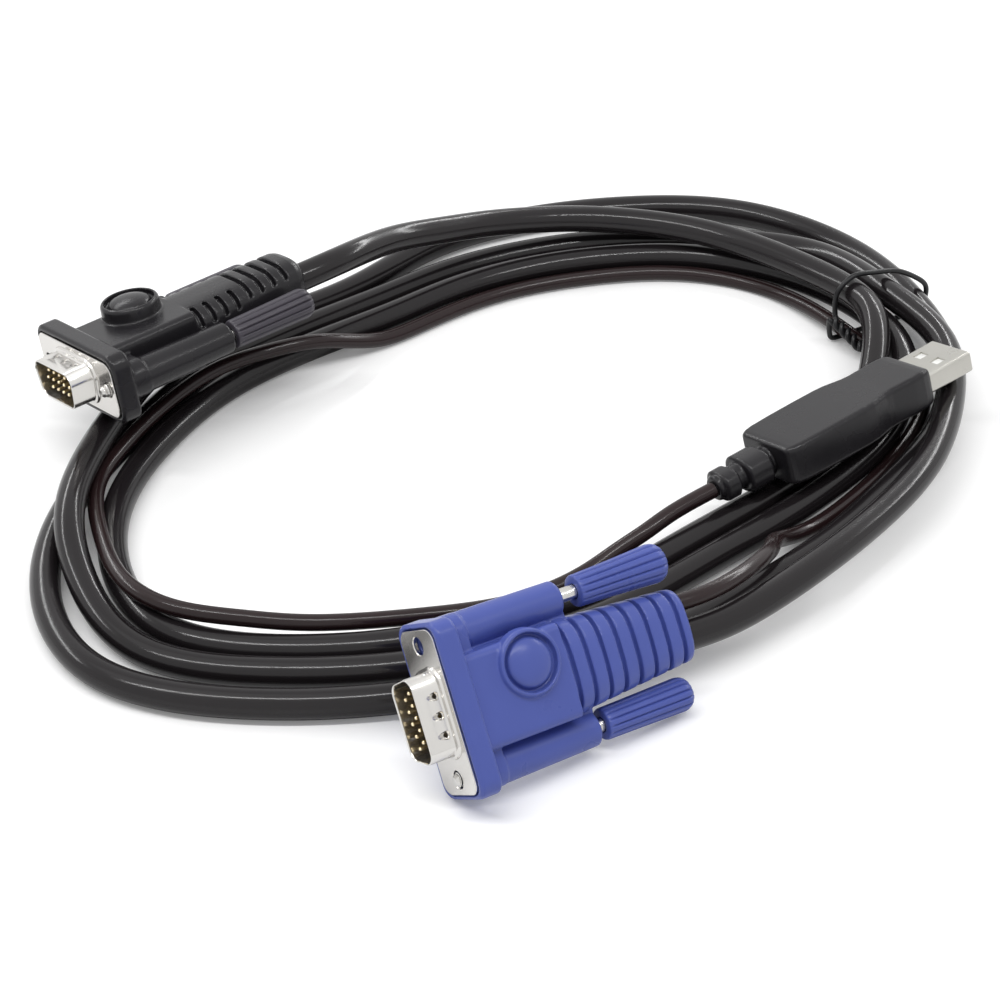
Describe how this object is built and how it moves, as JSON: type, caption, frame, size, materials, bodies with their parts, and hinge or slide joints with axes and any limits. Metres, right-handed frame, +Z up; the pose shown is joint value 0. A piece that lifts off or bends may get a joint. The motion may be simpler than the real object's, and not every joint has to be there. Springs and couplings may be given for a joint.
{
  "type": "computer switch cable",
  "caption": "Coiled computer switch cable with a D-shaped video plug at each end and a USB plug on a thin side lead, held by a wire tie.",
  "frame": {"origin": "middle of the box of the three plugs and the tie, at its base, the surface that the coil lies on", "axes": "+Z up, +X to the right and +Y away from a viewer who faces the blue plug, as in the picture"},
  "size_m": [0.1999, 0.2191, 0.0337],
  "materials": {
    "blue_plastic": "satin moulded vinyl",
    "black_plastic": "satin moulded vinyl",
    "grey_plastic": "satin moulded plastic",
    "nickel": "bright nickel plate",
    "steel": "plated steel",
    "gold": "gold plate",
    "insulator": "moulded",
    "tongue": "moulded",
    "jacket": "extruded vinyl, slight gloss",
    "tie": "plastic over wire"
  },
  "bodies": {
    "root": {"blue_hood": "blue_plastic", "blue_front_shell": "nickel", "blue_insulator": "insulator", "blue_pin_01": "gold", "blue_pin_02": "gold", "blue_pin_03": "gold", "blue_pin_04": "gold", "blue_pin_05": "gold", "blue_pin_06": "gold", "blue_pin_07": "gold", "blue_pin_08": "gold", "blue_pin_09": "gold", "blue_pin_10": "gold", "blue_pin_11": "gold", "blue_pin_12": "gold", "blue_pin_13": "gold", "blue_pin_14": "gold", "blue_pin_15": "gold", "black_hood": "black_plastic", "black_front_shell": "nickel", "black_insulator": "insulator", "black_pin_01": "gold", "black_pin_02": "gold", "black_pin_03": "gold", "black_pin_04": "gold", "black_pin_05": "gold", "black_pin_06": "gold", "black_pin_07": "gold", "black_pin_08": "gold", "black_pin_09": "gold", "black_pin_10": "gold", "black_pin_11": "gold", "black_pin_12": "gold", "black_pin_13": "gold", "black_pin_14": "gold", "black_pin_15": "gold", "usb_body": "black_plastic", "usb_shell": "nickel", "usb_tongue": "tongue", "usb_contact_1": "gold", "usb_contact_2": "gold", "usb_contact_3": "gold", "usb_contact_4": "gold", "main_cable": "jacket", "usb_lead": "jacket", "cable_tie": "tie"},
    "blue_near_thumbscrew": {"blue_near_knob": "blue_plastic", "blue_near_screw": "steel"},
    "blue_far_thumbscrew": {"blue_far_knob": "blue_plastic", "blue_far_screw": "steel"},
    "black_near_thumbscrew": {"black_near_knob": "grey_plastic", "black_near_screw": "steel"},
    "black_far_thumbscrew": {"black_far_knob": "grey_plastic", "black_far_screw": "steel"}
  },
  "joints": [
    {"name": "blue_near_thumbscrew_turn", "type": "hinge", "parent": "root", "child": "blue_near_thumbscrew", "pos_m": [0.0176, -0.06466, 0.00513], "axis": [-0.8323, -0.5509, 0.061], "continuous": true},
    {"name": "blue_far_thumbscrew_turn", "type": "hinge", "parent": "root", "child": "blue_far_thumbscrew", "pos_m": [0.01239, -0.0504, 0.02512], "axis": [-0.8323, -0.5509, 0.061], "continuous": true},
    {"name": "black_near_thumbscrew_turn", "type": "hinge", "parent": "root", "child": "black_near_thumbscrew", "pos_m": [-0.05755, 0.03723, 0.02526], "axis": [-0.784, -0.6192, -0.0436], "continuous": true},
    {"name": "black_far_thumbscrew_turn", "type": "hinge", "parent": "root", "child": "black_far_thumbscrew", "pos_m": [-0.07252, 0.05655, 0.01998], "axis": [-0.784, -0.6192, -0.0436], "continuous": true}
  ]
}
